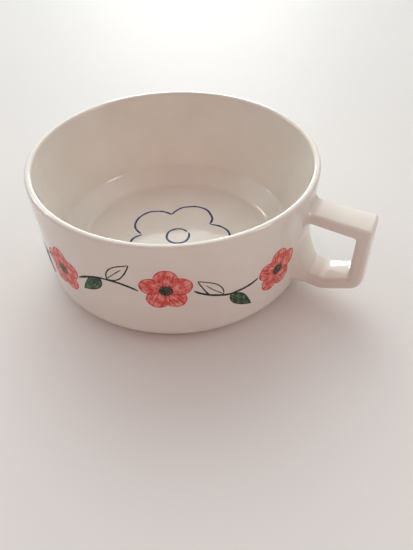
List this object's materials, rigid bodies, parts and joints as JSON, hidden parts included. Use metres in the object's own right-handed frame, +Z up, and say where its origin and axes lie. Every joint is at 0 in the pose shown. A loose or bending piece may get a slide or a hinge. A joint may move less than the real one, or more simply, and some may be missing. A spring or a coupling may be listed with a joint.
{
  "type": "soup mug",
  "caption": "Wide, low glazed soup mug with a tapered round wall, a sloping cove inside, a foot ring, an angular finger handle luted on with slip, and a painted blossom garland.",
  "frame": {"origin": "on the bowl's axis, in the plane of the foot ring that the mug stands on", "axes": "+Z up along the bowl's axis, +X from the axis through the middle of the handle"},
  "size_m": [0.1521, 0.1258, 0.0538],
  "materials": {
    "clay": "bare fired stoneware",
    "slip": "bare fired slip",
    "glaze": "glossy off-white glaze",
    "red_paint": "crayon-like red underglaze colour",
    "green_paint": "dark green underglaze colour",
    "blue_paint": "navy underglaze pencil line"
  },
  "bodies": {
    "root": {"bowl": "clay", "handle": "clay", "upper_slip_joint": "slip", "lower_slip_joint": "slip", "inside_glaze": "glaze", "outside_glaze": "glaze", "handle_glaze": "glaze", "base_glaze": "glaze", "blossom_petals": "red_paint", "blossom_hearts": "green_paint", "garland_stems": "green_paint", "garland_leaves": "green_paint", "floor_flower": "blue_paint"}
  },
  "joints": []
}
